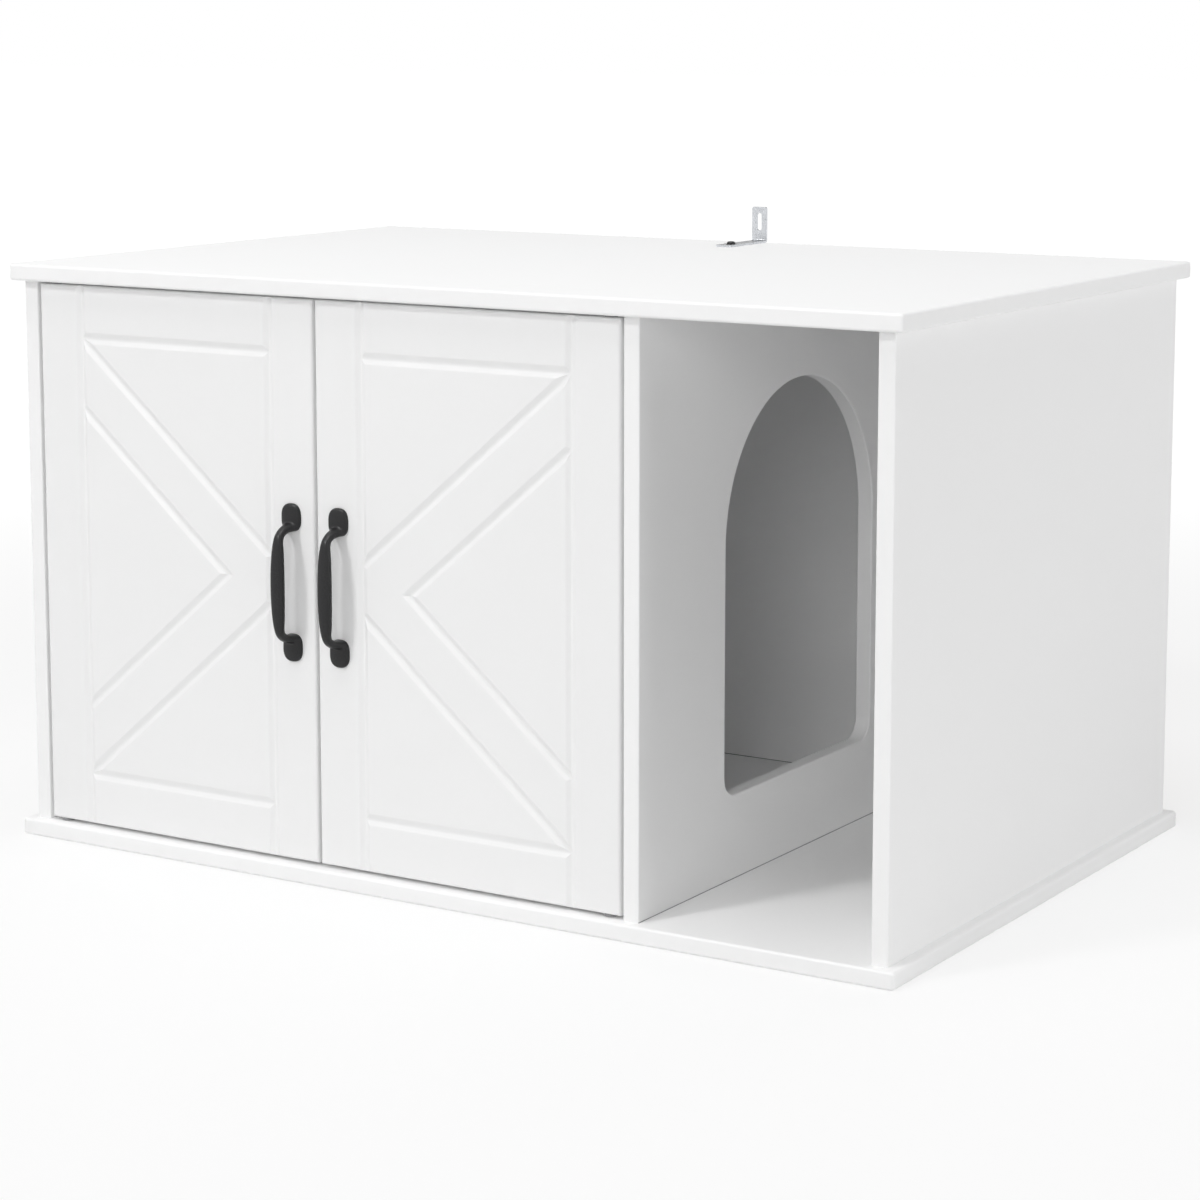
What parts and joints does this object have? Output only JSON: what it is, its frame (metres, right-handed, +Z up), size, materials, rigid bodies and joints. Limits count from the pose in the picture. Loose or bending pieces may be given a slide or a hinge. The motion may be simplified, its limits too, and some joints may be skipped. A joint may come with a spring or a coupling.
{
  "type": "cat litter cabinet",
  "caption": "White flat-pack cat house cabinet: barn-style doors with black pull handles over a litter chamber, an open side niche, an arched pass-through and a slotted wall bracket.",
  "frame": {"origin": "middle of the bottom board's underside, on the floor", "axes": "+X to the right seen from the front, +Y to the back, +Z up"},
  "size_m": [0.9, 0.6052, 0.565],
  "materials": {
    "white_board": "white melamine-faced particle board, satin",
    "white_door": "white foil-wrapped fibreboard, satin",
    "back_board": "thin white-lacquered hardboard",
    "black_iron": "matt black coated iron",
    "zinc_strip": "galvanised steel strip",
    "zinc_fitting": "zinc die-cast and plated steel fittings",
    "plated_screw": "plated steel screw",
    "black_screw": "black oxide screw",
    "beech": "plain beech dowel",
    "nylon": "grey nylon",
    "catch_plastic": "white moulded plastic",
    "magnet": "ferrite magnet"
  },
  "bodies": {
    "cabinet": {"bottom_panel": "white_board", "top_panel": "white_board", "left_side_panel": "white_board", "right_side_panel": "white_board", "divider_panel": "white_board", "back_panel": "back_board", "dowels": "beech", "cam_bolts": "zinc_fitting", "cam_locks": "zinc_fitting", "pivot_pins": "plated_screw", "catch_body": "catch_plastic", "catch_magnets": "magnet", "catch_screws": "plated_screw", "wall_bracket": "zinc_strip", "bracket_screw": "black_screw"},
    "left_door": {"left_door_panel": "white_door", "left_door_handle": "black_iron", "left_handle_screws": "plated_screw", "left_upper_bush": "nylon", "left_lower_bush": "nylon", "left_strike_plate": "zinc_strip", "left_strike_screw": "plated_screw"},
    "right_door": {"right_door_panel": "white_door", "right_door_handle": "black_iron", "right_handle_screws": "plated_screw", "right_upper_bush": "nylon", "right_lower_bush": "nylon", "right_strike_plate": "zinc_strip", "right_strike_screw": "plated_screw"}
  },
  "joints": [
    {"name": "left_door_swing", "type": "hinge", "parent": "cabinet", "child": "left_door", "pos_m": [-0.40894, -0.2775, 0.26525], "axis": [0, 0, -1], "range_deg": [0, 110]},
    {"name": "right_door_swing", "type": "hinge", "parent": "cabinet", "child": "right_door", "pos_m": [0.18094, -0.2775, 0.26525], "axis": [0, 0, 1], "range_deg": [0, 110]}
  ]
}
